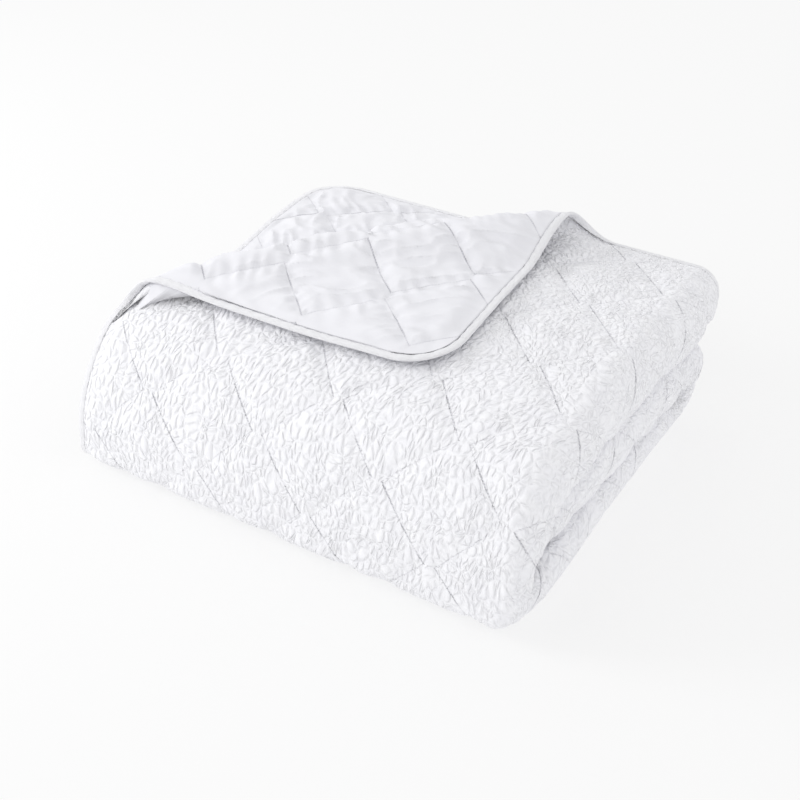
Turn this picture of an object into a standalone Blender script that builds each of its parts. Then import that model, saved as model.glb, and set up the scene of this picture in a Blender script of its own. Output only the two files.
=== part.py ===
"""A quilted seersucker bedspread, folded into a packet with one corner of its top layer turned back.

The cloth is one flat sheet with rounded corners: a seersucker face, a plain cotton backing and a
bias binding round the edge. It is folded twice over:
  across the packet (x) four plies nest inside one another, with fold lips at the right and left;
  along the packet (y, z) the nest runs back to front over the top, down the front, back under the
  bottom, up the back and forward again inside.
A place on the cloth is (s, p, m): s across the plies from the top ply's left edge, p along the path
from the top ply's back edge, and m through the cloth, from its middle towards its backing side.
Origin: middle of the packet's underside. +X along the front, +Y to the back, +Z up. Metres.
"""
import math

import bpy
import bmesh
from mathutils import Vector

# Quilting: rows of zigzag seams that run along the path, neighbours mirrored
SEAM_SPACING = 0.0742        # across, between the middles of two neighbouring zigzags
SEAM_PERIOD = 0.131          # along the path, from one point of a zigzag to the next like it
SEAM_SWING = 0.0309          # how far a zigzag swings to each side of its middle
SEAM_NECK_X = -0.1196        # x of a neck on the top ply, where two zigzags come closest
SEAM_NECK_P = 0.1692         # path length of that neck
FACE_SEAM_DEPTH = 0.0032     # how far a seam draws in the face
BACK_SEAM_DEPTH = 0.0048     # how far it draws in the backing
SEAM_SHARE = 0.48            # but never more than this share of half the thickness
SEAM_HALF_WIDTH = 0.011      # half the width of the dip along a seam
CELL = SEAM_SPACING / 4      # grid across, so that each seam runs along a grid line
ROW = SEAM_PERIOD / 6        # grid along the path
LONG_ROW = 0.070             # the same where the packet is flat and nothing shows

# Cloth
LEFT_EDGE = -0.2765          # x of the quilted cloth's left edge on the top ply
CORNER_RADIUS = 0.050
PLY_GAP = 0.0018             # air between two plies
FOLD_STEPS = 3               # flat strips round a small fold
PANEL_GAP = 0.0003           # between the face and the backing, and at the binding
EDGE_HALF_THICKNESS = 0.0024 # the quilting is pressed thin where the binding holds it
EDGE_TAPER = 0.026           # over this distance from the edge
SECOND_INSET = (0.004, 0.030)    # of the second ply's left edge, at the corner and further on
SECOND_INSET_LENGTH = 0.30
TAPER_RING = 0.014           # grid ring inside the edge that shows the taper
BINDING_WIDTH = 0.0107
BINDING_THICKNESS = 0.0062
FLAT_HALF = 0.005            # half thickness of the flat sheet before folding

# Sections of the cloth across the packet, in the order in which the cloth runs through the nest.
# The first two share their length: the top run ends where the outer fold begins.
TOP_AND_OUTER_FOLD = 0.655
SECTIONS = (
    # name, length
    ("top run and outer right fold", TOP_AND_OUTER_FOLD),
    ("lowest run", 0.485),
    ("left fold", 0.034),
    ("third run", 0.500),
    ("inner right fold", 0.034),
    ("second run", 0.500),
)
CLOTH_ACROSS = sum(length for name, length in SECTIONS)

# The path of the nest in side view: outer face and inner face of the four plies, and their reach
# to the right and to the left. Smooth curves run through the rows.
PATH_COLUMNS = ("place", "outer_y", "outer_z", "inner_y", "inner_z", "right", "left")
PATH = (
    ("top, back edge", 0.250, 0.1870, 0.250, 0.1130, 0.2796, -0.2765),
    ("top, behind the middle", 0.136, 0.1952, 0.150, 0.1150, 0.2890, -0.2765),
    ("top, middle", 0.034, 0.1950, 0.030, 0.1160, 0.2855, -0.2720),
    ("top, front", -0.080, 0.1898, -0.070, 0.1120, 0.2869, -0.2650),
    ("shoulder", -0.169, 0.1700, -0.135, 0.0980, 0.2875, -0.2700),
    ("front, upper", -0.222, 0.1110, -0.180, 0.0800, 0.2875, -0.2705),
    ("front, lower", -0.2440, 0.0600, -0.2035, 0.0630, 0.2875, -0.2685),
    ("toe", -0.2475, 0.0213, -0.2065, 0.0480, 0.2805, -0.2700),
    ("heel", -0.2200, 0.0000, -0.1950, 0.0420, 0.2765, -0.2745),
    ("bottom, front", -0.1800, 0.0000, -0.1700, 0.0400, 0.2795, -0.2765),
    ("bottom, middle", 0.0000, 0.0000, 0.0000, 0.0410, 0.2702, -0.2765),
    ("bottom, back", 0.1750, 0.0000, 0.1700, 0.0410, 0.2650, -0.2765),
    ("back, low", 0.2330, 0.0150, 0.1880, 0.0430, 0.2668, -0.2765),
    ("back", 0.2500, 0.0560, 0.1920, 0.0460, 0.2680, -0.2765),
    ("back, high", 0.2300, 0.0990, 0.1860, 0.0485, 0.2800, -0.2765),
    ("inside, back", 0.1700, 0.1090, 0.1650, 0.0490, 0.2758, -0.2765),
    ("inside, middle", 0.0000, 0.1100, 0.0000, 0.0470, 0.2760, -0.2765),
    ("inside, end", -0.1400, 0.0900, -0.1450, 0.0450, 0.2720, -0.2765),
)
PATH_STEPS = 24              # samples between two rows

# The turned-back corner: a mirror line on the top ply, from its left edge to its back edge
TURN_LEFT_P = 0.386          # where the line meets the left edge, along the path
TURN_BACK_X = 0.085          # where it meets the back edge
TURN_RADIUS_LEFT = 0.0035    # inside radius of the roll at the left end
TURN_RADIUS_RIGHT = 0.0135   # and at the back end
TURN_REST_GAP = 0.0022       # between the turned corner and the ply that it lies on
TURN_THIN = 0.78             # the turned corner is flattened to this share of its thickness

# Unevenness, which fades out towards the underside
ROLL_STEP = 0.0085           # between the grid lines along the roll
SLACK = 0.0016               # height of the soft waves from back to front
SLACK_LENGTH = 0.31
LEAN = 0.0025                # how far the plies lean to one side and the other
SLOPE = 0.004                # rise to the right, for each metre across
CENTRE_X = 0.0005            # shifts that put the origin under the packet's middle
CENTRE_Y = -0.0068


def remove_everything():
    for thing in list(bpy.data.objects):
        bpy.data.objects.remove(thing, do_unlink=True)


def mix(a, b, share):
    return a + (b - a) * share


def ease(value):
    value = min(max(value, 0.0), 1.0)
    return value * value * (3 - 2 * value)


def smooth_slopes(knots, values):
    """Slopes for a curve through the values that never swings past them."""
    steps = [(values[i + 1] - values[i]) / (knots[i + 1] - knots[i]) for i in range(len(knots) - 1)]
    slopes = [steps[0]]
    for before, after in zip(steps, steps[1:]):
        slopes.append(0.0 if before * after <= 0 else 2 * before * after / (before + after))
    slopes.append(steps[-1])
    return slopes


def smooth_value(knots, values, slopes, span, share):
    width = knots[span + 1] - knots[span]
    square = share * share
    cube = square * share
    return ((2 * cube - 3 * square + 1) * values[span]
            + (cube - 2 * square + share) * width * slopes[span]
            + (3 * square - 2 * cube) * values[span + 1]
            + (cube - square) * width * slopes[span + 1])


def sample_path():
    """The path as fine rows: path length, outer y and z, inner y and z, reach right and left."""
    rows = [dict(zip(PATH_COLUMNS, row)) for row in PATH]
    knots = [0.0]
    for here, after in zip(rows, rows[1:]):
        step = math.hypot(after["outer_y"] - here["outer_y"], after["outer_z"] - here["outer_z"])
        knots.append(knots[-1] + step)
    curves = []
    for column in PATH_COLUMNS[1:]:
        values = [row[column] for row in rows]
        curves.append((values, smooth_slopes(knots, values)))
    samples = []
    length = 0.0
    for span in range(len(rows) - 1):
        for step in range(PATH_STEPS):
            share = step / PATH_STEPS
            samples.append([smooth_value(knots, values, slopes, span, share) for values, slopes in curves])
    samples.append([values[-1] for values, slopes in curves])
    fine = []
    for index, sample in enumerate(samples):
        if index:
            before = samples[index - 1]
            length += math.hypot(sample[0] - before[0], sample[1] - before[1])
        fine.append([length] + sample)
    return fine


FINE_PATH = sample_path()
CLOTH_ALONG = FINE_PATH[-1][0]


def path_length_at(place):
    """Path length at a named row of the path."""
    names = [row[0] for row in PATH]
    return FINE_PATH[names.index(place) * PATH_STEPS][0]


def path_row(p):
    """Outer point, inner point and reach right and left at path length p; straight past both ends."""
    low, high = 0, len(FINE_PATH) - 1
    while high - low > 1:
        middle = (low + high) // 2
        if FINE_PATH[middle][0] <= p:
            low = middle
        else:
            high = middle
    before, after = FINE_PATH[low], FINE_PATH[high]
    share = (p - before[0]) / (after[0] - before[0])
    return [mix(a, b, share) for a, b in zip(before[1:], after[1:])]


def section_starts():
    starts = [0.0]
    for name, length in SECTIONS:
        starts.append(starts[-1] + length)
    return starts


STARTS = section_starts()


def second_ply_inset(p):
    """How far the second ply's left edge lies inside the first's: more, away from the corner."""
    return mix(SECOND_INSET[0], SECOND_INSET[1], ease(p / SECOND_INSET_LENGTH))


def nest_place(s, m, depth, right, left, p):
    """x and depth below the outer face for a place on the cloth; depth is the nest's own."""
    ply = (depth - 3 * PLY_GAP) / 4
    middle = depth / 2
    fold_x = right - middle
    w = 0.5 + m / ply
    run_end = fold_x - left
    fold_end = run_end + math.pi * (middle - ply / 2)
    left_x = left + ply
    if s <= run_end:
        return left + s, w * ply
    if s <= fold_end:
        angle = math.pi * (s - run_end) / (fold_end - run_end)
        radius = middle - w * ply
        return fold_x + radius * math.sin(angle), middle - radius * math.cos(angle)
    if s <= STARTS[2]:
        share = (s - fold_end) / (STARTS[2] - fold_end)
        return mix(fold_x, left_x, share), 3 * (ply + PLY_GAP) + (1 - w) * ply
    if s <= STARTS[3]:
        angle = math.pi * (s - STARTS[2]) / (STARTS[3] - STARTS[2])
        radius = PLY_GAP / 2 + (1 - w) * ply
        centre = 3 * ply + 2.5 * PLY_GAP
        return left_x - radius * math.sin(angle), centre + radius * math.cos(angle)
    if s <= STARTS[4]:
        share = (s - STARTS[3]) / (STARTS[4] - STARTS[3])
        return mix(left_x, fold_x, share), 2 * (ply + PLY_GAP) + w * ply
    if s <= STARTS[5]:
        angle = math.pi * (s - STARTS[4]) / (STARTS[5] - STARTS[4])
        radius = PLY_GAP / 2 + w * ply
        return fold_x + radius * math.sin(angle), middle + radius * math.cos(angle)
    share = (s - STARTS[5]) / (STARTS[6] - STARTS[5])
    return mix(fold_x, left + second_ply_inset(p), share), ply + PLY_GAP + (1 - w) * ply


def turn_back(x, p, depth, ply):
    """Rolls the top ply's corner over the mirror line; depth becomes negative above the ply."""
    run = TURN_BACK_X - LEFT_EDGE
    line = math.hypot(run, TURN_LEFT_P)
    out_x, out_p = -TURN_LEFT_P / line, -run / line
    along = ((x - LEFT_EDGE) * run - (p - TURN_LEFT_P) * TURN_LEFT_P) / (line * line)
    out = (x - LEFT_EDGE) * out_x + (p - TURN_LEFT_P) * out_p
    inside = mix(TURN_RADIUS_LEFT, TURN_RADIUS_RIGHT, ease(along))
    neutral = inside + ply / 2
    lead = math.pi * neutral / 2
    if out <= -lead:
        return x, p, depth
    angle = (out + lead) / neutral
    if angle < math.pi:
        radius = inside + depth
        new_out = -lead + radius * math.sin(angle)
        height = inside - radius * math.cos(angle)
    else:
        settle = ease((out - lead) / (0.035 + 4 * inside))
        new_out = -out
        height = mix(2 * inside, TURN_REST_GAP, settle) + depth * mix(1, TURN_THIN, settle)
    return x + (new_out - out) * out_x, p + (new_out - out) * out_p, -height


def lie(x, y, z):
    """The packet's own unevenness: soft waves and a slight slope, none where it rests."""
    lift = ease(z / 0.15)
    wave = SLACK * math.sin(math.tau * y / SLACK_LENGTH + 0.5)
    return x + LEAN * math.sin(12 * y + 9 * z) * lift + CENTRE_X, y + CENTRE_Y, z + (wave + SLOPE * x) * lift


def fold(s, p, m):
    """Where a place on the cloth lies in the folded packet."""
    outer_y, outer_z, inner_y, inner_z, right, left = path_row(p)
    depth = math.hypot(inner_y - outer_y, inner_z - outer_z)
    x, below = nest_place(s, m, depth, right, left, p)
    if s < TURN_BACK_X - LEFT_EDGE + 0.10 and p < TURN_LEFT_P + 0.10:
        x, new_p, below = turn_back(x, p, below, (depth - 3 * PLY_GAP) / 4)
        if new_p != p:
            outer_y, outer_z, inner_y, inner_z = path_row(new_p)[:4]
            depth = math.hypot(inner_y - outer_y, inner_z - outer_z)
    share = below / depth
    return Vector(lie(x, mix(outer_y, inner_y, share), mix(outer_z, inner_z, share)))


def edge_distance(s, p):
    """Distance from the flat sheet's rounded outline, positive inside."""
    from_side = min(s, CLOTH_ACROSS - s)
    from_end = min(p, CLOTH_ALONG - p)
    if from_side < CORNER_RADIUS and from_end < CORNER_RADIUS:
        return CORNER_RADIUS - math.hypot(CORNER_RADIUS - from_side, CORNER_RADIUS - from_end)
    return min(from_side, from_end)


def zigzag(p):
    """Swing of a zigzag along the path, from -1 to 1, with its points at the necks' rows."""
    phase = ((p - SEAM_NECK_P) / SEAM_PERIOD) % 1.0
    return 1 - 4 * min(phase, 1 - phase)


FIRST_SEAM = (SEAM_NECK_X - SEAM_SPACING / 2 - LEFT_EDGE) % SEAM_SPACING


def seam_place(number, p):
    """s of a numbered seam at path length p."""
    origin = SEAM_NECK_X - SEAM_SPACING / 2 - LEFT_EDGE
    side = 1 if round((FIRST_SEAM + number * SEAM_SPACING - origin) / SEAM_SPACING) % 2 == 0 else -1
    return FIRST_SEAM + number * SEAM_SPACING + side * SEAM_SWING * zigzag(p)


def seam_distance(s, p):
    """Distance across the cloth to the nearest seam, square to that seam."""
    number = round((s - FIRST_SEAM) / SEAM_SPACING)
    nearest = min(abs(s - seam_place(number + step, p)) for step in (-1, 0, 1))
    slope = 4 * SEAM_SWING / SEAM_PERIOD
    return nearest / math.hypot(1, slope)


def to_seams(s, p):
    """Shifts the grid sideways so that every fourth line follows its zigzag."""
    place = (s - FIRST_SEAM) / SEAM_SPACING
    number = math.floor(place)
    share = place - number
    shifted = mix(seam_place(number, p), seam_place(number + 1, p), share)
    keep = ease((edge_distance(s, p) - 0.020) / 0.035) * (1 - ease((s - OUTER_FOLD[0] + 0.055) / 0.05))
    return mix(s, shifted, keep)


UNDERSIDE = (path_length_at("heel"), path_length_at("bottom, back"))


def seam_dip(s, p, most):
    """How far the seams draw a face in; on the underside the packet's weight presses it flat."""
    outside = max(UNDERSIDE[0] - p, p - UNDERSIDE[1]) / SEAM_HALF_WIDTH
    return most * ease(outside) * math.exp(-(seam_distance(s, p) / SEAM_HALF_WIDTH) ** 2)


def half_thickness(s, p, ply, seam_depth):
    """From the cloth's middle to one of its faces: thin at the edge, drawn in along the seams."""
    pressed = ease(edge_distance(s, p) / EDGE_TAPER)
    dip = seam_dip(s, p, min(seam_depth, SEAM_SHARE * ply / 2))
    return mix(EDGE_HALF_THICKNESS, ply / 2 - dip, pressed)


def ply_at(p):
    outer_y, outer_z, inner_y, inner_z = path_row(p)[:4]
    return (math.hypot(inner_y - outer_y, inner_z - outer_z) - 3 * PLY_GAP) / 4


def parts_of(faces):
    """The faces with their edges and corners, as the cutting tool wants them."""
    edges = {edge for face in faces for edge in face.edges}
    corners = {corner for face in faces for corner in face.verts}
    return list(faces) + list(edges) + list(corners)


def faces_in(sheet, side, s_range, p_range):
    """Flat faces on one side of the sheet (1 face, -1 backing, 0 both and the walls) in a window."""
    chosen = []
    for face in sheet.faces:
        centre = face.calc_center_median()
        if side and face.normal.z * side < 0.5:
            continue
        if s_range[0] < centre.x < s_range[1] and p_range[0] < centre.y < p_range[1]:
            chosen.append(face)
    return chosen


def cut(sheet, point, normal, side=0, s_range=(-1, 9), p_range=(-1, 9)):
    sheet.normal_update()
    faces = faces_in(sheet, side, s_range, p_range)
    bmesh.ops.bisect_plane(sheet, geom=parts_of(faces), dist=1e-5, plane_co=point, plane_no=normal)


def cut_across(sheet, places, side=0, s_range=(-1, 9), p_range=(-1, 9)):
    """Grid lines at the given s, running along the path."""
    for s in places:
        cut(sheet, (s, 0, 0), (1, 0, 0), side, s_range, p_range)


def cut_along(sheet, places, side=0, s_range=(-1, 9), p_range=(-1, 9)):
    """Grid lines at the given path lengths, running across the plies."""
    for p in places:
        cut(sheet, (0, p, 0), (0, 1, 0), side, s_range, p_range)


def steps(low, high, spacing, anchor):
    """Places at a spacing that pass through the anchor, strictly between low and high."""
    first = math.ceil((low - anchor) / spacing + 1e-6)
    last = math.floor((high - anchor) / spacing - 1e-6)
    return [anchor + number * spacing for number in range(first, last + 1)]


def fold_lines():
    """Lines across which the small folds bend."""
    lines = []
    for start, end in ((STARTS[2], STARTS[3]), (STARTS[4], STARTS[5])):
        lines += [mix(start, end, step / FOLD_STEPS) for step in range(FOLD_STEPS + 1)]
    return lines


BEND_FRONT = (path_length_at("top, front"), path_length_at("bottom, front"))
BEND_BACK = (path_length_at("bottom, back"), path_length_at("inside, back"))
TIGHT_FROM = path_length_at("front, upper")
TOE = (path_length_at("front, lower"), path_length_at("heel"))
OUTER_FOLD = (0.505, 0.650)      # the top run's right end and the outer right fold
TIGHT_FOLD = (0.505, 0.610)      # the same fold where the nest is thin
TURN_BLOCK_S = (-0.05, OUTER_FOLD[0])
TURN_BLOCK_P = (-0.05, TURN_LEFT_P + 0.06)


def cut_folds(sheet):
    """The lines that every face of the sheet needs to bend where the packet bends."""
    cut_across(sheet, fold_lines())
    cut_along(sheet, steps(*BEND_FRONT, ROW, SEAM_NECK_P))
    cut_along(sheet, steps(*TOE, ROW, SEAM_NECK_P + ROW / 2))
    cut_along(sheet, steps(*BEND_BACK, 1.5 * ROW, BEND_BACK[0]))
    cut_along(sheet, [path_length_at("top, middle"), path_length_at("top, behind the middle")])
    cut_along(sheet, steps(BEND_FRONT[1], BEND_BACK[0], LONG_ROW, BEND_FRONT[1]))
    cut_along(sheet, steps(BEND_BACK[1], CLOTH_ALONG - CORNER_RADIUS, LONG_ROW, BEND_BACK[1]))
    cut_across(sheet, [OUTER_FOLD[0], *steps(*OUTER_FOLD, CELL, FIRST_SEAM)], 0, (-1, 0.9), (-1, TIGHT_FROM))
    cut_across(sheet, steps(*TIGHT_FOLD, CELL / 2, TIGHT_FOLD[0]), 0, (-1, 0.9), (TIGHT_FROM, 9))


def cut_turn(sheet):
    """Lines along the roll of the turned-back corner, and a wide grid for what lies turned."""
    run = TURN_BACK_X - LEFT_EDGE
    line = math.hypot(run, TURN_LEFT_P)
    out = Vector((-TURN_LEFT_P, -run, 0)) / line
    for step in range(-4, 5):
        point = Vector((0, TURN_LEFT_P, 0)) + out * step * ROLL_STEP
        cut(sheet, point, out, 0, TURN_BLOCK_S, TURN_BLOCK_P)
    cut_across(sheet, steps(0.02, 0.30, 2 * CELL, FIRST_SEAM), 0, TURN_BLOCK_S, TURN_BLOCK_P)
    cut_along(sheet, steps(0.02, 0.32, ROW, SEAM_NECK_P), 0, TURN_BLOCK_S, TURN_BLOCK_P)
    cut_along(sheet, steps(0.02, 0.32, ROW, SEAM_NECK_P), 0, (CLOTH_ACROSS - CORNER_RADIUS, 9))


def flat_sheet():
    """Half of the flat cloth's thickness, with rounded corners and a ring inside its edge."""
    sheet = bmesh.new()
    bmesh.ops.create_cube(sheet, size=1)
    bmesh.ops.scale(sheet, vec=(CLOTH_ACROSS, CLOTH_ALONG, FLAT_HALF), verts=sheet.verts)
    bmesh.ops.translate(sheet, vec=(CLOTH_ACROSS / 2, CLOTH_ALONG / 2, FLAT_HALF / 2), verts=sheet.verts)
    upright = [edge for edge in sheet.edges if abs(edge.verts[0].co.z - edge.verts[1].co.z) > 1e-6]
    bmesh.ops.bevel(sheet, geom=upright, offset=CORNER_RADIUS, segments=5, profile=0.5, affect="EDGES")
    sheet.normal_update()
    flat = [face for face in sheet.faces if abs(face.normal.z) > 0.5]
    bmesh.ops.inset_individual(sheet, faces=flat, thickness=TAPER_RING)
    cut_folds(sheet)
    cut_turn(sheet)
    sheet.normal_update()
    split_faces(sheet, [face for face in sheet.faces if face.normal.z < -0.5])
    return sheet


def split_faces(sheet, faces):
    """Splits faces into triangles, the four-cornered ones all along the same diagonal."""
    rest = []
    for face in faces:
        if len(face.verts) == 4:
            corners = sorted(face.verts, key=lambda corner: corner.co.x + corner.co.y + corner.co.z)
            if corners[3] not in [edge.other_vert(corners[0]) for edge in corners[0].link_edges]:
                bmesh.utils.face_split(face, corners[0], corners[3])
                continue
        rest.append(face)
    rest = [face for face in rest if face.is_valid and len(face.verts) > 3]
    bmesh.ops.triangulate(sheet, faces=rest, quad_method="BEAUTY", ngon_method="BEAUTY")


def make_object(name, sheet, colour, roughness):
    mesh = bpy.data.meshes.new(name)
    sheet.to_mesh(mesh)
    sheet.free()
    mesh.shade_smooth()
    thing = bpy.data.objects.new(name, mesh)
    bpy.context.scene.collection.objects.link(thing)
    material = bpy.data.materials.new(name)
    material.use_nodes = True
    shader = material.node_tree.nodes["Principled BSDF"]
    shader.inputs["Base Color"].default_value = (*colour, 1)
    shader.inputs["Roughness"].default_value = roughness
    shader.inputs["Metallic"].default_value = 0.0
    mesh.materials.append(material)
    return thing


def cut_face_grid(sheet):
    """The fine grid of the face, where it shows: top, front and back."""
    whole = (-1, OUTER_FOLD[0])
    cut_across(sheet, steps(0.022, OUTER_FOLD[0], CELL, FIRST_SEAM), 1, whole, (-1, BEND_FRONT[1]))
    cut_across(sheet, steps(0.022, OUTER_FOLD[0], CELL, FIRST_SEAM), 1, whole, BEND_BACK)
    cut_along(sheet, steps(0.022, TIGHT_FROM, ROW, SEAM_NECK_P), 1, (-1, OUTER_FOLD[1]))
    cut_across(sheet, [EDGE_TAPER + 0.004], 1, whole, UNDERSIDE)


def cut_backing_grid(sheet):
    """The fine grid of the backing, where it shows: the turned corner and the ply under it."""
    shown_s = (-1, TURN_BACK_X - LEFT_EDGE + 0.02)
    shown_p = (-1, TURN_LEFT_P + 0.02)
    cut_across(sheet, steps(0.022, shown_s[1], CELL, FIRST_SEAM), -1, shown_s, shown_p)
    cut_along(sheet, steps(0.022, shown_p[1], ROW, SEAM_NECK_P), -1, shown_s, shown_p)
    under_s = (CLOTH_ACROSS - 0.29, 9)
    under_p = (-1, 0.30)
    cut_across(sheet, steps(under_s[0], CLOTH_ACROSS - 0.022, CELL, FIRST_SEAM), -1, under_s, under_p)
    cut_along(sheet, steps(0.022, under_p[1], ROW, SEAM_NECK_P), -1, under_s, under_p)


def make_panel(name, half, side, colour):
    """The face (side 1) or the backing (side -1), each with its half of the quilted thickness."""
    sheet = half.copy()
    if side > 0:
        cut_face_grid(sheet)
    else:
        bmesh.ops.scale(sheet, vec=(1, 1, -1), verts=sheet.verts)
        bmesh.ops.reverse_faces(sheet, faces=sheet.faces)
        cut_backing_grid(sheet)
    split_faces(sheet, list(sheet.faces))
    seam_depth = FACE_SEAM_DEPTH if side > 0 else BACK_SEAM_DEPTH
    for corner in sheet.verts:
        s, p = corner.co.x, corner.co.y
        offset = PANEL_GAP / 2
        if abs(corner.co.z) > FLAT_HALF / 2:
            s = to_seams(s, p)
            offset = half_thickness(s, p, ply_at(p), seam_depth)
        corner.co = fold(s, p, -side * offset)
    bmesh.ops.reverse_faces(sheet, faces=sheet.faces)
    return make_object(name, sheet, colour, 0.9)


def make_binding():
    """The binding: a narrow band all round the cloth's edge, rounded on its outer side."""
    ring = bmesh.new()
    bmesh.ops.create_cube(ring, size=1)
    grow = PANEL_GAP + BINDING_WIDTH
    bmesh.ops.scale(ring, vec=(CLOTH_ACROSS + 2 * grow, CLOTH_ALONG + 2 * grow, BINDING_THICKNESS),
                    verts=ring.verts)
    bmesh.ops.translate(ring, vec=(CLOTH_ACROSS / 2, CLOTH_ALONG / 2, 0), verts=ring.verts)
    upright = [edge for edge in ring.edges if abs(edge.verts[0].co.z - edge.verts[1].co.z) > 1e-6]
    bmesh.ops.bevel(ring, geom=upright, offset=CORNER_RADIUS + grow, segments=5, profile=0.5, affect="EDGES")
    ring.normal_update()
    flat = [face for face in ring.faces if abs(face.normal.z) > 0.5]
    bmesh.ops.inset_individual(ring, faces=flat, thickness=BINDING_WIDTH)
    inner = [face for face in ring.faces if abs(face.normal.z) > 0.5 and face.calc_area() > 1]
    bmesh.ops.bridge_loops(ring, edges=[edge for face in inner for edge in face.edges])
    bmesh.ops.delete(ring, geom=inner, context="FACES_ONLY")
    bmesh.ops.recalc_face_normals(ring, faces=ring.faces)
    cut_folds(ring)
    cut_turn(ring)
    split_faces(ring, list(ring.faces))
    for corner in ring.verts:
        s, p, m = corner.co.x, corner.co.y, -corner.co.z
        corner.co = fold(s, p, m)
    bmesh.ops.reverse_faces(ring, faces=ring.faces)
    return make_object("edge_binding", ring, (0.86, 0.86, 0.86), 0.85)


def main():
    remove_everything()
    half = flat_sheet()
    make_panel("seersucker_face", half, 1, (0.85, 0.85, 0.86))
    make_panel("plain_backing", half, -1, (0.90, 0.90, 0.90))
    half.free()
    make_binding()


main()
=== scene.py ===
import bpy
import bmesh
import math
import numpy as np
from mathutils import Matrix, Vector


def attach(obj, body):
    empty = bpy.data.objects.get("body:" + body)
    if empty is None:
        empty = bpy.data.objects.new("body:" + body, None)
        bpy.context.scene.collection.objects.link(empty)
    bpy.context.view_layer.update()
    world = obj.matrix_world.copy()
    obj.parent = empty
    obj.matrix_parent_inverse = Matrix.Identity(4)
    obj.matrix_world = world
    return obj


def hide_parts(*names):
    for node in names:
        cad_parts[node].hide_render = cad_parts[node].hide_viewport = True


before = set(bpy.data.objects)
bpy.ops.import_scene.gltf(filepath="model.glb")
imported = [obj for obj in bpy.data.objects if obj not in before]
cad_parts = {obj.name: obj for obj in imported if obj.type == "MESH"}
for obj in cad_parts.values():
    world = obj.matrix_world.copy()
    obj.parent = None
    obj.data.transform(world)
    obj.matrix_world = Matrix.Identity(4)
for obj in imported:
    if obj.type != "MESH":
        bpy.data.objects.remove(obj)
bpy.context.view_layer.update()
print("frame loaded:", ", ".join(sorted(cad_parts)))

def linear(code):
    # An sRGB hex colour as linear values
    values = [int(code[i:i + 2], 16) / 255 for i in (1, 3, 5)]
    return [v / 12.92 if v <= 0.04045 else ((v + 0.055) / 1.055) ** 2.4 for v in values] + [1]


def addNode(tree, kind, settings=None, inputs=None):
    # adds a node with settings, and inputs that are values or links
    node = tree.nodes.new(kind)
    for key, value in (settings or {}).items():
        setattr(node, key, value)
    for key, value in (inputs or {}).items():
        if isinstance(value, bpy.types.NodeSocket):
            tree.links.new(value, node.inputs[key])
        else:
            node.inputs[key].default_value = value
    return node


# quilting: zigzag rows along the path, neighbours mirrored so that diamonds are left between them
quilting = {
    "spacing": 0.0742,          # middles of neighbouring zigzags, metres
    "period": 0.131,
    "swing": 0.0309,
    "neckX": -0.1196,           # a neck on the top ply
    "neckP": 0.1692,
    "stitchPitch": 0.0034,
    "litLeg": 0.42,           # how much the painted seam shade and bump show on the zigzag legs that catch the light
    "patchScale": 38.0,         # of the noise by which the seams sink in and out of the puffs
}

# the cloth's sections across the packet, in the order in which it runs through the nest
cloth = {
    "leftEdge": -0.2765,
    "cornerRadius": 0.050,
    "plyGap": 0.0018,
    "edgeHalf": 0.0024,
    "edgeTaper": 0.026,
    "topAndOuterFold": 0.655,
    "lowestRun": 0.485,
    "smallFold": 0.034,
    "run": 0.500,
    "secondInset": (0.004, 0.030, 0.30),    # second ply's free edge: inset at the back, further on, from where
}
starts = np.cumsum([0, cloth["topAndOuterFold"], cloth["lowestRun"], cloth["smallFold"],
                    cloth["run"], cloth["smallFold"], cloth["run"]])
clothAcross = float(starts[-1])

# the nest's path in side view: place, outer y and z, inner y and z, reach to the right and to the left
pathRows = [
    ("top, back edge", 0.250, 0.1870, 0.250, 0.1130, 0.2796, -0.2765),
    ("top, behind the middle", 0.136, 0.1952, 0.150, 0.1150, 0.2890, -0.2765),
    ("top, middle", 0.034, 0.1950, 0.030, 0.1160, 0.2855, -0.2720),
    ("top, front", -0.080, 0.1898, -0.070, 0.1120, 0.2869, -0.2650),
    ("shoulder", -0.169, 0.1700, -0.135, 0.0980, 0.2875, -0.2700),
    ("front, upper", -0.222, 0.1110, -0.180, 0.0800, 0.2875, -0.2705),
    ("front, lower", -0.2440, 0.0600, -0.2035, 0.0630, 0.2875, -0.2685),
    ("toe", -0.2475, 0.0213, -0.2065, 0.0480, 0.2805, -0.2700),
    ("heel", -0.2200, 0.0000, -0.1950, 0.0420, 0.2765, -0.2745),
    ("bottom, front", -0.1800, 0.0000, -0.1700, 0.0400, 0.2795, -0.2765),
    ("bottom, middle", 0.0000, 0.0000, 0.0000, 0.0410, 0.2702, -0.2765),
    ("bottom, back", 0.1750, 0.0000, 0.1700, 0.0410, 0.2650, -0.2765),
    ("back, low", 0.2330, 0.0150, 0.1880, 0.0430, 0.2668, -0.2765),
    ("back", 0.2500, 0.0560, 0.1920, 0.0460, 0.2680, -0.2765),
    ("back, high", 0.2300, 0.0990, 0.1860, 0.0485, 0.2800, -0.2765),
    ("inside, back", 0.1700, 0.1090, 0.1650, 0.0490, 0.2758, -0.2765),
    ("inside, middle", 0.0000, 0.1100, 0.0000, 0.0470, 0.2760, -0.2765),
    ("inside, end", -0.1400, 0.0900, -0.1450, 0.0450, 0.2720, -0.2765),
]

# the turned-back corner: its mirror line on the top ply and the roll along it
turned = {
    "leftP": 0.386,
    "backX": 0.085,
    "radiusLeft": 0.0035,
    "radiusBack": 0.0135,
    "restGap": 0.0022,
    "thin": 0.78,
    "settleLength": 0.035,
    "reach": 0.10,              # how far past the mirror line's ends the corner is looked for
}
uneven = {"slack": 0.0016, "slackLength": 0.31, "lean": 0.0025, "slope": 0.004, "liftHeight": 0.15,
          "centreX": 0.0005, "centreY": -0.0068}


def mix(a, b, share):
    return a + (b - a) * share


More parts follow.
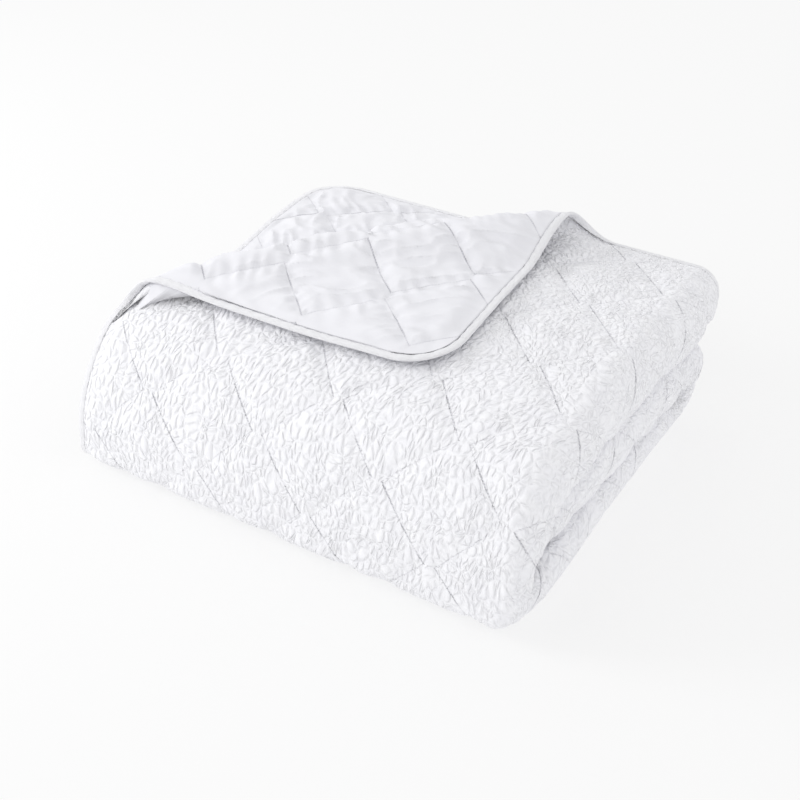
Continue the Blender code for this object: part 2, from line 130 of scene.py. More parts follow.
def ease(value):
    value = np.clip(value, 0.0, 1.0)
    return value * value * (3 - 2 * value)


perSpan = 24                # samples in each span of the path


def finePath():
    # smooth curves through the rows that never swing past them, sampled finely
    table = np.array([row[1:] for row in pathRows])
    knots = np.concatenate([[0], np.cumsum(np.hypot(*np.diff(table[:, :2], axis=0).T))])
    width = np.diff(knots)[:, None]
    rise = np.diff(table, axis=0) / width
    before, after = rise[:-1], rise[1:]
    same = before * after > 0
    inner = np.where(same, 2 * before * after / np.where(same, before + after, 1), 0)
    slopes = np.vstack([rise[:1], inner, rise[-1:]])
    pieces = []
    for span in range(len(table) - 1):
        t = (np.arange(perSpan) / perSpan)[:, None]
        start = (2 * t**3 - 3 * t**2 + 1) * table[span] + (t**3 - 2 * t**2 + t) * width[span] * slopes[span]
        end = (3 * t**2 - 2 * t**3) * table[span + 1] + (t**3 - t**2) * width[span] * slopes[span + 1]
        pieces.append(start + end)
    samples = np.vstack(pieces + [table[-1:]])
    length = np.concatenate([[0], np.cumsum(np.hypot(*np.diff(samples[:, :2], axis=0).T))])
    return length, samples


pathLength, pathSamples = finePath()
clothAlong = float(pathLength[-1])


def pathAt(p):
    # outer y and z, inner y and z, and reach right and left at path length p, straight on past both ends
    columns = []
    for column in pathSamples.T:
        value = np.interp(p, pathLength, column)
        first = (column[1] - column[0]) / (pathLength[1] - pathLength[0])
        last = (column[-1] - column[-2]) / (pathLength[-1] - pathLength[-2])
        value = value + first * np.minimum(p, 0) + last * np.maximum(p - clothAlong, 0)
        columns.append(value)
    return columns


def plyAt(p):
    outerY, outerZ, innerY, innerZ = pathAt(p)[:4]
    return (np.hypot(innerY - outerY, innerZ - outerZ) - 3 * cloth["plyGap"]) / 4


def nestPlace(s, m, depth, right, left, p):
    # x and depth below the packet's outer face; m runs from the cloth's middle to its backing
    gap = cloth["plyGap"]
    ply = (depth - 3 * gap) / 4
    middle = depth / 2
    foldX = right - middle
    w = 0.5 + m / ply
    runEnd = foldX - left
    foldEnd = runEnd + math.pi * (middle - ply / 2)
    leftX = left + ply
    outer = math.pi * (s - runEnd) / (foldEnd - runEnd)
    outerRadius = middle - w * ply
    lowShare = (s - foldEnd) / (starts[2] - foldEnd)
    leftTurn = math.pi * (s - starts[2]) / (starts[3] - starts[2])
    leftRadius = gap / 2 + (1 - w) * ply
    innerTurn = math.pi * (s - starts[4]) / (starts[5] - starts[4])
    innerRadius = gap / 2 + w * ply
    nearInset, farInset, insetLength = cloth["secondInset"]
    secondLeft = left + mix(nearInset, farInset, ease(p / insetLength))
    cases = [s <= runEnd, s <= foldEnd, s <= starts[2], s <= starts[3], s <= starts[4], s <= starts[5]]
    x = np.select(cases, [
        left + s,
        foldX + outerRadius * np.sin(outer),
        mix(foldX, leftX, lowShare),
        leftX - leftRadius * np.sin(leftTurn),
        mix(leftX, foldX, (s - starts[3]) / (starts[4] - starts[3])),
        foldX + innerRadius * np.sin(innerTurn),
    ], mix(foldX, secondLeft, (s - starts[5]) / (starts[6] - starts[5])))
    below = np.select(cases, [
        w * ply,
        middle - outerRadius * np.cos(outer),
        3 * (ply + gap) + (1 - w) * ply,
        3 * ply + 2.5 * gap + leftRadius * np.cos(leftTurn),
        2 * (ply + gap) + w * ply,
        middle + innerRadius * np.cos(innerTurn),
    ], ply + gap + (1 - w) * ply)
    return x, below


def turnBack(x, p, below, ply, chosen):
    # rolls the top ply's corner over the mirror line; below turns negative above the ply
    left = cloth["leftEdge"]
    run, drop = turned["backX"] - left, turned["leftP"]
    line = math.hypot(run, drop)
    outX, outP = -drop / line, -run / line
    along = ((x - left) * run - (p - drop) * drop) / line**2
    out = (x - left) * outX + (p - drop) * outP
    inside = mix(turned["radiusLeft"], turned["radiusBack"], ease(along))
    neutral = inside + ply / 2
    lead = math.pi * neutral / 2
    angle = (out + lead) / neutral
    radius = inside + below
    settle = ease((out - lead) / (turned["settleLength"] + 4 * inside))
    rolling = angle < math.pi
    newOut = np.where(rolling, -lead + radius * np.sin(angle), -out)
    height = np.where(rolling, inside - radius * np.cos(angle),
                      mix(2 * inside, turned["restGap"], settle) + below * mix(1, turned["thin"], settle))
    moves = chosen & (out > -lead)
    shift = np.where(moves, newOut - out, 0)
    return x + shift * outX, p + shift * outP, np.where(moves, -height, below)


def foldCloth(s, p, m):
    # where places on the cloth lie in the folded packet
    outerY, outerZ, innerY, innerZ, right, left = pathAt(p)
    depth = np.hypot(innerY - outerY, innerZ - outerZ)
    x, below = nestPlace(s, m, depth, right, left, p)
    reach = turned["reach"]
    chosen = (s < turned["backX"] - cloth["leftEdge"] + reach) & (p < turned["leftP"] + reach)
    x, newP, below = turnBack(x, p, below, (depth - 3 * cloth["plyGap"]) / 4, chosen)
    outerY, outerZ, innerY, innerZ = pathAt(newP)[:4]
    share = below / np.hypot(innerY - outerY, innerZ - outerZ)
    y, z = mix(outerY, innerY, share), mix(outerZ, innerZ, share)
    lift = ease(z / uneven["liftHeight"])
    wave = uneven["slack"] * np.sin(math.tau * y / uneven["slackLength"] + 0.5)
    lean = uneven["lean"] * np.sin(12 * y + 9 * z)
    z = z + (wave + uneven["slope"] * x) * lift
    return np.stack([x + lean * lift + uneven["centreX"], y + uneven["centreY"], np.maximum(z, 0)], axis=-1)


def edgeDistance(s, p):
    radius = cloth["cornerRadius"]
    fromSide = np.minimum(s, clothAcross - s)
    fromEnd = np.minimum(p, clothAlong - p)
    round_ = radius - np.hypot(radius - fromSide, radius - fromEnd)
    return np.where((fromSide < radius) & (fromEnd < radius), round_, np.minimum(fromSide, fromEnd))


def zigzag(p):
    phase = ((p - quilting["neckP"]) / quilting["period"]) % 1.0
    return 1 - 4 * np.minimum(phase, 1 - phase)


seamOrigin = quilting["neckX"] - quilting["spacing"] / 2 - cloth["leftEdge"]
seamSlope = 4 * quilting["swing"] / quilting["period"]


def seamPlace(number, p):
    side = np.where(np.round(number) % 2 == 0, 1, -1)
    return seamOrigin + number * quilting["spacing"] + side * quilting["swing"] * zigzag(p)


def seamFacts(s, p):
    # distance to the nearest seam, and how far along that seam's leg the place is
    number = np.round((s - seamOrigin) / quilting["spacing"])
    best = np.full(np.shape(s), 9.0)
    side = np.zeros(np.shape(s))
    for step in (-1, 0, 1):
        away = np.abs(s - seamPlace(number + step, p))
        side = np.where(away < best, np.where((number + step) % 2 == 0, 1, -1), side)
        best = np.minimum(best, away)
    phase = ((p - quilting["neckP"]) / quilting["period"]) % 1.0
    lean = side * np.where(phase < 0.5, -1, 1) * seamSlope
    steep = math.hypot(1, seamSlope)
    return best / steep, (p + lean * s) / steep


def softNoise(u, v, seed):
    # smooth value noise from -1 to 1
    i, j = np.floor(u), np.floor(v)
    tu, tv = ease(u - i), ease(v - j)

    def corner(a, b):
        value = np.sin(a * 127.1 + b * 311.7 + seed * 74.7) * 43758.5453
        return (value - np.floor(value)) * 2 - 1
    return mix(mix(corner(i, j), corner(i + 1, j), tu), mix(corner(i, j + 1), corner(i + 1, j + 1), tu), tv)


# seersucker: puffs between fine creases, short and round on top and drawn out down the front
crinkle = {"width": 0.0074, "topLength": 0.0084, "frontLength": 0.0122, "height": 0.0021, "fine": 0.0003}


def crinklePlace(s, p):
    # places in the pattern of puffs, one unit to a puff, pulled about so that no two are alike
    knots = np.array([0, 0.24, 0.38, 0.70, 1.0, 1.6])
    lengths = np.repeat([crinkle["topLength"], crinkle["frontLength"], 1.3 * crinkle["topLength"]], 2)
    fine = np.linspace(0, 1.6, 801)
    count = np.concatenate([[0], np.cumsum(np.diff(fine) / np.interp(fine[1:], knots, lengths))])
    u = s / crinkle["width"]
    u = u + 0.45 * softNoise(s / 0.016, p / 0.019, 3) + 0.9 * softNoise(s / 0.06, p / 0.05, 5)
    v = np.interp(p, fine, count)
    v = v + 0.45 * softNoise(s / 0.013, p / 0.021, 7) + 0.6 * softNoise(s / 0.05, p / 0.07, 9)
    return u, v


def cellEdges(u, v):
    # distance from each place to the nearest edge between two puffs, read from the Voronoi texture
    group = bpy.data.node_groups.new("puffs", "GeometryNodeTree")
    group.interface.new_socket("Geometry", in_out="INPUT", socket_type="NodeSocketGeometry")
    group.interface.new_socket("Geometry", in_out="OUTPUT", socket_type="NodeSocketGeometry")
    source = group.nodes.new("NodeGroupInput")
    sink = group.nodes.new("NodeGroupOutput")
    place = group.nodes.new("GeometryNodeInputPosition")
    puffs = puffNodes(group, place.outputs["Position"])
    keep = addNode(group, "GeometryNodeStoreNamedAttribute", {"data_type": "FLOAT", "domain": "POINT"},
                   {"Geometry": source.outputs["Geometry"], "Name": "edge",
                    "Value": puffs.outputs["Distance"]})
    group.links.new(keep.outputs["Geometry"], sink.inputs["Geometry"])
    mesh = bpy.data.meshes.new("places")
    mesh.vertices.add(u.size)
    mesh.vertices.foreach_set("co", np.stack([u, v, np.zeros(u.shape)], axis=-1).ravel())
    holder = bpy.data.objects.new("places", mesh)
    bpy.context.scene.collection.objects.link(holder)
    holder.modifiers.new("puffs", "NODES").node_group = group
    ready = holder.evaluated_get(bpy.context.evaluated_depsgraph_get()).data
    edge = np.empty(u.size)
    ready.attributes["edge"].data.foreach_get("value", edge)
    bpy.data.objects.remove(holder)
    bpy.data.meshes.remove(mesh)
    bpy.data.node_groups.remove(group)
    return edge


def puffNodes(tree, place):
    # cells one unit wide with bent edges
    noise = addNode(tree, "ShaderNodeTexNoise", {"noise_dimensions": "2D"},
                    {"Vector": place, "Scale": 0.85, "Detail": 2.0, "Roughness": 0.6})
    bent = addNode(tree, "ShaderNodeVectorMath", {"operation": "MULTIPLY_ADD"},
                   {0: noise.outputs["Color"], 1: (0.62, 0.62, 0), 2: place})
    return addNode(tree, "ShaderNodeTexVoronoi", {"voronoi_dimensions": "2D", "feature": "DISTANCE_TO_EDGE"},
                   {"Vector": bent.outputs["Vector"], "Scale": 1.0})


def seersucker(s, p):
    # height of the crinkle: rounded puffs with fine valleys between them
    edge = cellEdges(*crinklePlace(s, p))
    dome = 1 - (1 - np.clip(edge / 0.42, 0, 1)) ** 2
    depth = 0.75 + 0.35 * softNoise(s / 0.017, p / 0.03, 11)
    return crinkle["height"] * (dome - 0.6) * depth + crinkle["fine"] * softNoise(s / 0.0045, p / 0.009, 13)


underside = [float(pathLength[perSpan * number]) for number, row in enumerate(pathRows)
              if row[0] in ("heel", "bottom, back")]


def raised(p):
    # 0 on the underside, which the packet's weight presses flat, and 1 away from it
    return ease(np.maximum(underside[0] - p, p - underside[1]) / 0.011)


# troughs that the seams draw in the two faces; share is of a ply's thickness
faceTrough = {"depth": 0.0032, "share": 0.24, "width": 0.0105}
backTrough = {"depth": 0.0054, "share": 0.27, "width": 0.0100}


def seamTrough(distance, ply, p, trough):
    deepest = np.minimum(trough["depth"], trough["share"] * ply)
    return deepest * np.exp(-(distance / trough["width"]) ** 2) * raised(p)


def faceOffset(s, p):
    # m of the seersucker face
    ply = plyAt(p)
    distance = seamFacts(s, p)[0]
    dip = seamTrough(distance, ply, p, faceTrough)
    height = seersucker(s, p) * (1 - 0.7 * np.exp(-(distance / 0.004) ** 2))
    pressed = ease(edgeDistance(s, p) / cloth["edgeTaper"])
    return -mix(cloth["edgeHalf"], ply / 2 - dip + height, pressed)


def backOffset(s, p):
    # m of the plain backing: puffed diamonds with pulls along the seams and slack creases
    ply = plyAt(p)
    distance, along = seamFacts(s, p)
    dip = seamTrough(distance, ply, p, backTrough)
    drift = 3.5 * softNoise(s / 0.04, p / 0.04, 21)
    pull = 0.0019 * np.exp(-distance / 0.012) * np.sin(math.tau * along / 0.019 + drift)
    slant, other = s + 0.7 * p, p - 0.7 * s
    ridge = 1 - np.abs(softNoise(slant / 0.016 + 0.8 * softNoise(s / 0.05, p / 0.05, 27), other / 0.055, 23))
    slack = 0.0036 * (ridge**3 - 0.3) + 0.0009 * softNoise(s / 0.021, p / 0.024, 25)
    pressed = ease(edgeDistance(s, p) / cloth["edgeTaper"])
    return mix(cloth["edgeHalf"], ply / 2 - dip + (pull + slack) * ease(distance / 0.004), pressed)


def spread(stops):
    # grid places from a list of (from, to, step)
    places = [stops[0][0]]
    for low, high, step in stops:
        count = max(1, round((high - low) / step))
        places += list(np.linspace(low, high, count + 1)[1:])
    return np.array(places)


def roundCorners(s, p):
    # bends the grid's square corners to the cloth's round ones
    radius = cloth["cornerRadius"]
    for cornerS, signS in ((0, 1), (clothAcross, -1)):
        for cornerP, signP in ((0, 1), (clothAlong, -1)):
            a = 1 - signS * (s - cornerS) / radius
            b = 1 - signP * (p - cornerP) / radius
            inside = (a > 0) & (b > 0)
            newA, newB = a * np.sqrt(np.maximum(1 - b * b / 2, 0)), b * np.sqrt(np.maximum(1 - a * a / 2, 0))
            s = np.where(inside, cornerS + signS * (1 - newA) * radius, s)
            p = np.where(inside, cornerP + signP * (1 - newB) * radius, p)
    return s, p


def gridSheet(sPlaces, pPlaces):
    # a flat grid at the given places, and its places as arrays
    sheet = bmesh.new()
    bmesh.ops.create_grid(sheet, x_segments=len(sPlaces) - 1, y_segments=len(pPlaces) - 1, size=0.5)
    across = np.array([corner.co.x + 0.5 for corner in sheet.verts]) * (len(sPlaces) - 1)
    alongPath = np.array([corner.co.y + 0.5 for corner in sheet.verts]) * (len(pPlaces) - 1)
    s = np.interp(across, np.arange(len(sPlaces)), sPlaces)
    p = np.interp(alongPath, np.arange(len(pPlaces)), pPlaces)
    return sheet, *roundCorners(s, p)


def meshOf(shape, name):
    mesh = bpy.data.meshes.new(name)
    shape.to_mesh(mesh)
    shape.free()
    return mesh


def placed(name, mesh):
    piece = bpy.data.objects.new(name, mesh)
    bpy.context.scene.collection.objects.link(piece)
    return piece


def closedPanel(name, finePlaces, coarsePlaces, offset, side):
    # a panel of cloth as a closed body: its outer face on a fine grid, its inner one on a wide one
    outer, s, p = gridSheet(*finePlaces)
    places = foldCloth(s, p, offset(s, p))
    inner, innerS, innerP = gridSheet(*coarsePlaces)
    innerPlaces = foldCloth(innerS, innerP, np.full(innerS.shape, -side * 0.00015))
    outerMesh, innerMesh = meshOf(outer, name + "_outer"), meshOf(inner, name + "_inner")
    both = bmesh.new()
    both.from_mesh(outerMesh)
    outerCount = len(both.verts)
    both.from_mesh(innerMesh)
    both.normal_update()
    # the map turns the sheet over, so the backing's outer face keeps its winding and the face's is turned
    both.verts.index_update()
    flip = [face for face in both.faces if (face.verts[0].index < outerCount) == (side > 0)]
    bmesh.ops.reverse_faces(both, faces=flip)
    rim = [edge for edge in both.edges if edge.is_boundary]
    bmesh.ops.bridge_loops(both, edges=rim)
    mesh = meshOf(both, name)
    bpy.data.meshes.remove(outerMesh)
    bpy.data.meshes.remove(innerMesh)
    allPlaces = np.vstack([places, innerPlaces])
    mesh.vertices.foreach_set("co", allPlaces.ravel())
    flatS, flatP = np.concatenate([s, innerS]), np.concatenate([p, innerP])
    corners = np.empty(len(mesh.loops), dtype=np.int32)
    mesh.loops.foreach_get("vertex_index", corners)
    for layerName, layer in (("clothPlace", (flatS, flatP)), ("crinklePlace", crinklePlace(flatS, flatP))):
        mesh.uv_layers.new(name=layerName).data.foreach_set("uv", np.stack(layer, axis=-1)[corners].ravel())
    mesh.update()
    mesh.shade_smooth()
    return placed(name, mesh)


def seamLine(tree, uv, width):
    # 1 on the quilting seams' stitches and 0 away from them, from the place on the cloth
    def calculate(operation, a, b=0.0, c=0.0):
        return addNode(tree, "ShaderNodeMath", {"operation": operation}, {0: a, 1: b, 2: c}).outputs["Value"]
    parts = addNode(tree, "ShaderNodeSeparateXYZ", {}, {"Vector": uv})
    rows = calculate("MULTIPLY_ADD", parts.outputs["Y"], 1 / quilting["period"],
                     -quilting["neckP"] / quilting["period"])
    swing = calculate("MULTIPLY_ADD", calculate("PINGPONG", rows, 0.5), -4 * quilting["swing"],
                      quilting["swing"] + quilting["spacing"] / 2)
    across = calculate("ADD", parts.outputs["X"], 4.5 * quilting["spacing"] - seamOrigin)
    apart = calculate("SUBTRACT", calculate("PINGPONG", across, quilting["spacing"]), swing)
    away = calculate("MULTIPLY", calculate("ABSOLUTE", apart), 1 / math.hypot(1, seamSlope))
    line = addNode(tree, "ShaderNodeMapRange", {"interpolation_type": "SMOOTHSTEP"},
                   {"Value": away, "From Min": 0.3 * width, "From Max": width, "To Min": 1.0, "To Max": 0.0})
    stitch = calculate("SINE", calculate("MULTIPLY", parts.outputs["Y"], math.tau * math.hypot(1, seamSlope)
                                         / quilting["stitchPitch"]))
    # one way's legs, which lie in shade, get the full painted seam shade and bump, and the other way's, which
    # catch the light, get less; both sink in and out of the puffs
    early = calculate("LESS_THAN", calculate("FRACT", rows), 0.5)
    odd = calculate("MODULO", calculate("FLOOR", calculate("MULTIPLY", across, 1 / quilting["spacing"])), 2.0)
    # painted shade: legs that catch the light get a weaker seam darkening than legs in shade
    legShade = calculate("MULTIPLY_ADD", calculate("COMPARE", early, odd, 0.1),
                      1 - quilting["litLeg"], quilting["litLeg"])
    patches = addNode(tree, "ShaderNodeTexNoise", {},
                      {"Vector": uv, "Scale": quilting["patchScale"], "Detail": 2.0})
    shown = addNode(tree, "ShaderNodeMapRange", {"interpolation_type": "SMOOTHSTEP"},
                    {"Value": patches.outputs["Fac"], "From Min": 0.36, "From Max": 0.60, "To Min": 0.30})
    strength = calculate("MULTIPLY", legShade, shown.outputs["Result"])
    return calculate("MULTIPLY", calculate("MULTIPLY", line.outputs["Result"], strength),
                     calculate("MULTIPLY_ADD", stitch, 0.25, 0.75))


# the binding's stitch line: its place and half width as shares of the way round the section
hemStitch = {"place": 0.385, "halfWidth": 0.022}


def hemStitches(tree, uv):
    # 1 on the stitches along the binding's inner side, on both of its faces
    parts = addNode(tree, "ShaderNodeSeparateXYZ", {}, {"Vector": uv})
    folded = addNode(tree, "ShaderNodeMath", {"operation": "PINGPONG"}, {0: parts.outputs["X"], 1: 0.5})
    apart = addNode(tree, "ShaderNodeMath", {"operation": "COMPARE"},
                    {0: folded.outputs["Value"], 1: hemStitch["place"], 2: hemStitch["halfWidth"]})
    dash = addNode(tree, "ShaderNodeMath", {"operation": "SINE"}, {
        0: addNode(tree, "ShaderNodeMath", {"operation": "MULTIPLY"},
                   {0: parts.outputs["Y"], 1: math.tau / quilting["stitchPitch"]}).outputs["Value"]})
    shown = addNode(tree, "ShaderNodeMapRange", {},
                    {"Value": dash.outputs["Value"], "From Min": -0.6, "From Max": 0.2})
    return addNode(tree, "ShaderNodeMath", {"operation": "MULTIPLY"},
                   {0: apart.outputs["Value"], 1: shown.outputs["Result"]}).outputs["Value"]


def clothMaterial(name, look):
    # woven cotton: matt with a soft sheen; the colour darkens on the stitches, and along the quilting seams also
    # as painted shade in their creases; weave and lint as bump
    material = bpy.data.materials.new(name)
    material.use_nodes = True
    tree = material.node_tree
    shader = tree.nodes["Principled BSDF"]
    shader.inputs["Roughness"].default_value = look["roughness"]
    shader.inputs["IOR"].default_value = 1.45
    shader.inputs["Specular IOR Level"].default_value = 0.3
    shader.inputs["Sheen Weight"].default_value = look["sheen"]
    shader.inputs["Sheen Roughness"].default_value = 0.5
    place = addNode(tree, "ShaderNodeUVMap", {"uv_map": "clothPlace"})
    if "seamWidth" in look:
        seam = seamLine(tree, place.outputs["UV"], look["seamWidth"])
    else:
        seam = hemStitches(tree, place.outputs["UV"])
    mottle = addNode(tree, "ShaderNodeTexNoise", {},
                     {"Vector": place.outputs["UV"], "Scale": 1 / look["mottle"], "Detail": 3.0, "Roughness": 0.6})
    tone = addNode(tree, "ShaderNodeMix", {"data_type": "RGBA"},
                   {"Factor": mottle.outputs["Fac"], "A": linear(look["light"]), "B": linear(look["shade"])})
    # painted shade: the seam mask darkens the colour towards the seam tone, which stands in for the shade in the
    # stitched creases as well as for the stitches
    seamShadedTone = addNode(tree, "ShaderNodeMix", {"data_type": "RGBA"},
                   {"Factor": seam, "A": tone.outputs["Result"], "B": linear(look["stitchAndSeamShade"])})
    tree.links.new(seamShadedTone.outputs["Result"], shader.inputs["Base Color"])
    stretch = addNode(tree, "ShaderNodeMapping", {},
                      {"Vector": place.outputs["UV"], "Scale": look["stretch"]})
    wrinkle = addNode(tree, "ShaderNodeTexNoise", {},
                      {"Vector": stretch.outputs["Vector"], "Scale": 1 / look["wrinkle"],
                       "Detail": look["wrinkleDetail"], "Roughness": 0.62})
    weave = addNode(tree, "ShaderNodeTexNoise", {},
                    {"Vector": place.outputs["UV"], "Scale": 1 / look["weave"], "Detail": 2.0, "Roughness": 0.5})
    soft = addNode(tree, "ShaderNodeBump", {},
                   {"Height": wrinkle.outputs["Fac"], "Distance": look["wrinkleDepth"], "Strength": 0.9})
    if "puffDepth" in look:
        pattern = addNode(tree, "ShaderNodeUVMap", {"uv_map": "crinklePlace"})
        puffs = puffNodes(tree, pattern.outputs["UV"])
        dome = addNode(tree, "ShaderNodeMapRange", {"interpolation_type": "SMOOTHSTEP"},
                       {"Value": puffs.outputs["Distance"], "From Max": 0.36})
        soft = addNode(tree, "ShaderNodeBump", {},
                       {"Height": dome.outputs["Result"], "Distance": look["puffDepth"], "Strength": 1.0,
                        "Normal": soft.outputs["Normal"]})
    sewn = addNode(tree, "ShaderNodeBump", {"invert": True},
                   {"Height": seam, "Distance": 0.0011, "Strength": 1.0, "Normal": soft.outputs["Normal"]})
    fine = addNode(tree, "ShaderNodeBump", {},
                   {"Height": weave.outputs["Fac"], "Distance": look["weaveDepth"], "Strength": 0.7,
                    "Normal": sewn.outputs["Normal"]})
    tree.links.new(fine.outputs["Normal"], shader.inputs["Normal"])
    return material


# crinkled cotton seersucker: thread bump drawn at 0.9 mm, coarser than the real 0.3 mm, so that it shows
# its seam colour is painted shade in the stitched creases, together with the stitches themselves
seersuckerCotton = clothMaterial("crinkledCottonSeersucker", {
    "light": "#fcfcfe", "shade": "#f3f3f8", "stitchAndSeamShade": "#d8d8df", "seamWidth": 0.0010,
    "roughness": 0.93, "sheen": 0.12, "mottle": 0.02, "stretch": (1.0, 0.45, 1.0),
    "wrinkle": 0.0034, "wrinkleDepth": 0.0010, "wrinkleDetail": 4.0, "weave": 0.0009, "weaveDepth": 0.00014,
    "puffDepth": 0.0012})
# plain-woven percale, ironed smooth: broad soft creases and a fine thread bump
# its seam colour too is painted shade in the stitched creases, together with the stitches
percaleCotton = clothMaterial("plainWovenCotton", {
    "light": "#f0f0f4", "shade": "#e9e9ee", "stitchAndSeamShade": "#cfcfd7", "seamWidth": 0.0010,
    "roughness": 0.86, "sheen": 0.10, "mottle": 0.05, "stretch": (1.0, 0.5, 1.0),
    "wrinkle": 0.030, "wrinkleDepth": 0.0120, "wrinkleDetail": 1.0, "weave": 0.0007, "weaveDepth": 0.00006})
# bias binding of the same plain cotton, stitched along its inner side
bindingCotton = clothMaterial("cottonBiasBinding", {
    "light": "#fafafc", "shade": "#f4f4f8", "stitchAndSeamShade": "#dcdce3",
    "roughness": 0.86, "sheen": 0.10, "mottle": 0.05, "stretch": (1.0, 1.0, 1.0),
    "wrinkle": 0.006, "wrinkleDepth": 0.0006, "wrinkleDetail": 3.0, "weave": 0.0007, "weaveDepth": 0.00006})


def dress(piece, material, slot, *nodes):
    piece.data.materials.clear()
    piece.data.materials.append(material)
    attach(piece, "root")
    if nodes:
        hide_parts(*nodes)


# seersucker face, first part: the top run and the outer fold, which are what shows of it
splitS = 0.660
topFace = closedPanel(
    "seersuckerOuterRun",
    (spread([(0, 0.014, 0.0035), (0.014, splitS, 0.00215)]),
     spread([(0, 0.70, 0.0038), (0.70, 1.02, 0.009), (1.02, 1.27, 0.005), (1.27, clothAlong, 0.009)])),
    (spread([(0, 0.45, 0.006), (0.45, splitS, 0.010)]), spread([(0, 0.45, 0.006), (0.45, 0.70, 0.011),
                                                                (0.70, clothAlong, 0.018)])), faceOffset, 1)
dress(topFace, seersuckerCotton, "seersucker", "seersucker_face")
print("seersucker, outer run:", len(topFace.data.polygons), "faces")

# second part: the runs inside the packet, joined to the first under the lowest run, where it is hidden
innerFace = closedPanel(
    "seersuckerInnerRuns",
    (spread([(splitS, 1.12, 0.02), (1.12, 1.19, 0.0045), (1.19, 1.66, 0.02), (1.66, 1.72, 0.005),
             (1.72, clothAcross, 0.016)]),
     spread([(0, 0.70, 0.008), (0.70, 1.02, 0.02), (1.02, 1.27, 0.008), (1.27, clothAlong, 0.016)])),
    (spread([(splitS, 1.12, 0.06), (1.12, 1.19, 0.009), (1.19, 1.66, 0.06), (1.66, 1.72, 0.009),
             (1.72, clothAcross, 0.05)]),
     spread([(0, 0.70, 0.011), (0.70, clothAlong, 0.018)])), faceOffset, 1)
dress(innerFace, seersuckerCotton, "seersucker", "seersucker_face")
print("seersucker, inner runs:", len(innerFace.data.polygons), "faces")

# plain backing, fine on the turned corner and on the ply under it
backing = closedPanel(
    "plainBacking",
    (spread([(0, 0.40, 0.0023), (0.40, 0.50, 0.01), (0.50, 0.66, 0.009), (0.66, 1.12, 0.04), (1.12, 1.19, 0.007),
             (1.19, 1.66, 0.04), (1.66, 1.72, 0.007), (1.72, 1.92, 0.025), (1.92, clothAcross, 0.0030)]),
     spread([(0, 0.42, 0.0024), (0.42, 0.70, 0.009), (0.70, 1.02, 0.02), (1.02, 1.27, 0.009),
             (1.27, clothAlong, 0.018)])),
    (spread([(0, 0.45, 0.006), (0.45, 0.66, 0.008), (0.66, 1.12, 0.06), (1.12, 1.19, 0.009), (1.19, 1.66, 0.06),
             (1.66, 1.72, 0.009), (1.72, clothAcross, 0.05)]),
     spread([(0, 0.45, 0.006), (0.45, 0.70, 0.011), (0.70, clothAlong, 0.018)])), backOffset, -1)
dress(backing, percaleCotton, "plain_cotton", "plain_backing")
print("plain backing:", len(backing.data.polygons), "faces")


def rimPlaces(count):
    # places round the flat cloth's outline, with their outward directions and how far round they are
    radius = cloth["cornerRadius"]
    straightS, straightP = clothAcross - 2 * radius, clothAlong - 2 * radius
    quarter = math.pi * radius / 2
    legs = [(radius, 0, 1, 0, straightS), (clothAcross, radius, 0, 1, straightP),
            (clothAcross - radius, clothAlong, -1, 0, straightS), (0, clothAlong - radius, 0, -1, straightP)]
    total = 2 * (straightS + straightP) + 4 * quarter
    t = np.arange(count + 1) / count * total
    s, p, outS, outP = (np.zeros(count + 1) for _ in range(4))
    begin = 0.0
    for number, (fromS, fromP, stepS, stepP, length) in enumerate(legs):
        here = (t >= begin - 1e-9) & (t <= begin + length)
        s[here] = fromS + stepS * (t[here] - begin)
        p[here] = fromP + stepP * (t[here] - begin)
        outS[here], outP[here] = stepP, -stepS
        begin += length
        here = (t > begin) & (t < begin + quarter)
        turn = (t[here] - begin) / radius
        endS, endP = fromS + stepS * length, fromP + stepP * length
        centreS, centreP = endS - stepP * radius, endP + stepS * radius
        outS[here] = stepP * np.cos(turn) + stepS * np.sin(turn)
        outP[here] = -stepS * np.cos(turn) + stepP * np.sin(turn)
        s[here], p[here] = centreS + radius * outS[here], centreP + radius * outP[here]
        begin += quarter
    last = t >= total - 1e-9
    s[last], p[last], outS[last], outP[last] = s[0], p[0], outS[0], outP[0]
    return s, p, outS, outP, t


bindingSizes = {"inside": 0.0012, "width": 0.0102, "halfThickness": 0.0025, "ripple": 0.0005,
                "rippleLength": 0.016, "flatWidth": 0.0150, "around": 1900, "profile": 12}


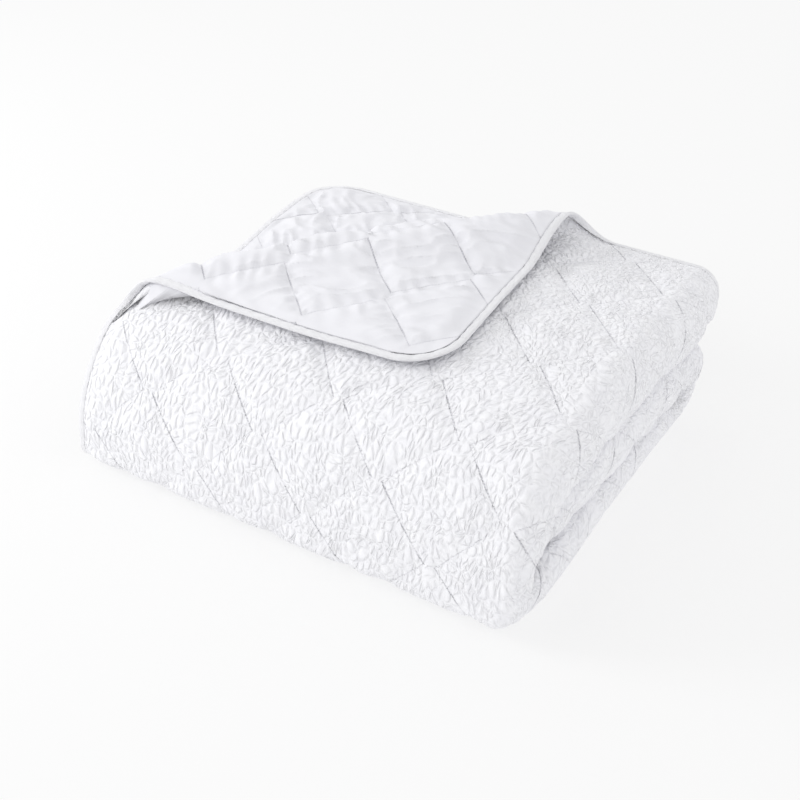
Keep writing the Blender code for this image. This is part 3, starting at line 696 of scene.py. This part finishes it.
def makeBinding():
    # the bias binding: a band folded over the cloth's edge, rounded outside, slightly rippled
    around = bindingSizes["around"]
    band = bmesh.new()
    bmesh.ops.create_grid(band, x_segments=bindingSizes["profile"], y_segments=around, size=0.5)
    turn = np.array([corner.co.x + 0.5 for corner in band.verts]) * math.tau
    step = np.round(np.array([corner.co.y + 0.5 for corner in band.verts]) * around).astype(int)
    s, p, outS, outP, t = rimPlaces(around)
    across = np.cos(turn)
    flat = np.sign(np.sin(turn)) * np.abs(np.sin(turn)) ** 0.55     # a flattened round section
    halfWidth = bindingSizes["width"] / 2
    reach = (halfWidth - bindingSizes["inside"]) + halfWidth * across
    rippling = bindingSizes["ripple"] * np.sin(math.tau * t[step] / bindingSizes["rippleLength"]
                                              + 2 * np.sin(t[step] * 31))
    # thinner towards its outer fold, where it doesn't ripple
    thick = bindingSizes["halfThickness"] * (1 - 0.22 * (across > 0) * across**2) + rippling * (across < 0.6)
    places = foldCloth(s[step] + outS[step] * reach, p[step] + outP[step] * reach, flat * thick)
    mesh = meshOf(band, "edgeBinding")
    mesh.vertices.foreach_set("co", places.ravel())
    corners = np.empty(len(mesh.loops), dtype=np.int32)
    mesh.loops.foreach_get("vertex_index", corners)
    round_ = np.stack([turn / math.tau, t[step]], axis=-1)[corners]
    mesh.uv_layers.new(name="clothPlace").data.foreach_set("uv", round_.ravel())
    closed = bmesh.new()
    closed.from_mesh(mesh)
    bmesh.ops.remove_doubles(closed, verts=closed.verts, dist=1e-6)
    bmesh.ops.recalc_face_normals(closed, faces=closed.faces)
    closed.to_mesh(mesh)
    closed.free()
    mesh.shade_smooth()
    return placed("edgeBinding", mesh)


binding = makeBinding()
dress(binding, bindingCotton, "binding", "edge_binding")
print("binding:", len(binding.data.polygons), "faces")

# camera at the photograph's angle
view = {"azimuth": 32.7, "elevation": 33.5, "distance": 1.565, "target": (0.0215, -0.0469, 0.08),
        "lens": 63.0}


def makeCamera():
    a, e = math.radians(view["azimuth"]), math.radians(view["elevation"])
    back = Vector((math.sin(a) * math.cos(e), -math.cos(a) * math.cos(e), math.sin(e)))
    data = bpy.data.cameras.new("camera")
    data.lens = view["lens"]
    data.sensor_width = 36
    camera = bpy.data.objects.new("camera", data)
    camera.location = Vector(view["target"]) + back * view["distance"]
    camera.rotation_euler = back.to_track_quat("Z", "Y").to_euler()
    bpy.context.scene.collection.objects.link(camera)
    bpy.context.scene.camera = camera


def areaLight(name, place, aim, size, power):
    data = bpy.data.lights.new(name, "AREA")
    data.shape = "SQUARE"
    data.size = size
    data.energy = power
    light = bpy.data.objects.new(name, data)
    light.location = place
    light.rotation_euler = (Vector(place) - Vector(aim)).to_track_quat("Z", "Y").to_euler()
    bpy.context.scene.collection.objects.link(light)


studio = {"world": 0.90, "key": 15.5, "keyPlace": (-1.9, -0.9, 1.05), "keyAim": (0, 0, 0.1), "keySize": 0.9,
          "floorTone": 0.32, "floorGlow": 0.64}


def makeStudio():
    world = bpy.data.worlds.new("softWhite")
    bpy.context.scene.world = world
    world.use_nodes = True
    world.node_tree.nodes["Background"].inputs["Color"].default_value = (1, 1, 1, 1)
    world.node_tree.nodes["Background"].inputs["Strength"].default_value = studio["world"]
    areaLight("key", studio["keyPlace"], studio["keyAim"], studio["keySize"], studio["key"])
    floor = bmesh.new()
    bmesh.ops.create_grid(floor, x_segments=1, y_segments=1, size=6)
    piece = placed("floor", meshOf(floor, "floor"))
    material = bpy.data.materials.new("paleFloor")
    material.use_nodes = True
    shader = material.node_tree.nodes["Principled BSDF"]
    shader.inputs["Base Color"].default_value = [studio["floorTone"]] * 3 + [1]
    shader.inputs["Emission Color"].default_value = (1, 1, 1, 1)
    shader.inputs["Emission Strength"].default_value = studio["floorGlow"]
    shader.inputs["Roughness"].default_value = 0.9
    shader.inputs["Specular IOR Level"].default_value = 0.0
    piece.data.materials.append(material)
    bpy.context.scene.view_settings.view_transform = "Standard"


makeCamera()
makeStudio()
print("camera and studio set")
